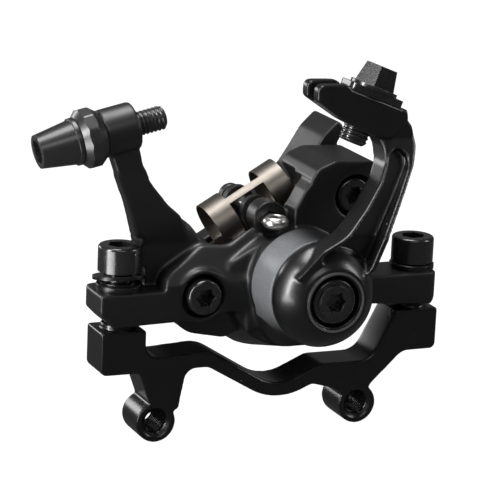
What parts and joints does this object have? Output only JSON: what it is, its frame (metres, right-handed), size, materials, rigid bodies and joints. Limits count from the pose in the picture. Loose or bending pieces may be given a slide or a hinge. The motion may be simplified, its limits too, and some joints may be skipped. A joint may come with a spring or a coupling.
{
  "type": "bicycle disc brake caliper",
  "caption": "Cable-pulled bicycle disc brake caliper with a curved lever, barrel adjuster, pads, split pin and bolted frame adapter.",
  "frame": {"origin": "midway between the two frame tab holes, where their threads start, 1.2 mm behind the adapter's front face", "axes": "+X along the two fixing bolts' line, +Y away from the lever towards the wheel, +Z away from the frame tabs"},
  "size_m": [0.1037, 0.0544, 0.0882],
  "materials": {
    "black_paint": "smooth black gloss paint over cast aluminium",
    "black_bolt": "black oxide steel, slightly glossy",
    "dark_washer": "dark grey coated steel",
    "black_anodised": "black anodised, satin",
    "steel": "plain ground steel",
    "nickel_spring": "satin nickel-grey spring steel",
    "silver_pin": "bright zinc plated steel wire",
    "bronze": "sintered bronze",
    "seal_rubber": "matt",
    "pad_backing": "dark coated steel plate",
    "friction_lining": "matt sintered lining"
  },
  "bodies": {
    "caliper": {"adapter_bracket": "black_paint", "front_body": "black_paint", "back_body": "black_paint", "body_bolts": "black_bolt", "fixing_bolts": "black_bolt", "fixing_cup_washers": "dark_washer", "fixing_dished_washers": "dark_washer", "fixing_flat_washer": "dark_washer", "hub_bush": "bronze", "thrust_washer": "steel", "dust_seal": "seal_rubber", "return_spring": "nickel_spring", "pad_spring": "nickel_spring", "pad_pin": "silver_pin"},
    "lever": {"actuating_lever": "black_paint", "hub_ring": "steel", "hub_screw": "black_bolt", "drive_cam": "steel", "ramp_balls": "steel", "cable_clamp_bolt": "black_bolt", "cable_clamp_plate": "black_bolt"},
    "moving_pad": {"push_piston": "steel", "ramp_plate": "steel", "moving_pad_plate": "pad_backing", "moving_pad_lining": "friction_lining"},
    "wheel_side_pad": {"fixed_pad_plate": "pad_backing", "fixed_pad_lining": "friction_lining"},
    "wheel_side_adjuster": {"pad_adjuster": "black_anodised", "adjuster_detent_ring": "steel"},
    "cable_barrel": {"barrel_adjuster": "black_anodised"},
    "barrel_nut": {"adjuster_nut": "black_anodised"}
  },
  "joints": [
    {"name": "lever_pull", "type": "hinge", "parent": "caliper", "child": "lever", "pos_m": [0.00755, -0.0155, 0.0324], "axis": [0, -1, 0], "range_deg": [0, 35], "stiffness_Nm_per_rad": 0.4, "springref_deg": -28.65, "deforming": ["return_spring"]},
    {"name": "piston_push", "type": "slide", "parent": "caliper", "child": "moving_pad", "axis": [0, 1, 0], "range_m": [0, 0.00141], "deforming": ["pad_spring"]},
    {"name": "wheel_pad_feed", "type": "slide", "parent": "caliper", "child": "wheel_side_pad", "axis": [0, -1, 0], "range_m": [0, 0.0007]},
    {"name": "adjuster_turn", "type": "hinge", "parent": "wheel_side_pad", "child": "wheel_side_adjuster", "pos_m": [0.00755, 0.0261, 0.0324], "axis": [0, -1, 0], "range_deg": [0, 300]},
    {"name": "barrel_turn", "type": "hinge", "parent": "caliper", "child": "cable_barrel", "pos_m": [-0.0574, -0.0062, 0.0661], "axis": [0.9755, 0, 0.2198], "range_deg": [-360, 360]},
    {"name": "nut_turn", "type": "hinge", "parent": "caliper", "child": "barrel_nut", "pos_m": [-0.04569, -0.0062, 0.06874], "axis": [0.9755, 0, 0.2198], "range_deg": [-360, 360]}
  ],
  "couplings": [
    {"joint": "piston_push", "follows": "lever_pull", "m_per_rad": 0.0022918},
    {"joint": "adjuster_turn", "follows": "wheel_pad_feed", "rad_per_m": 6283.2}
  ]
}
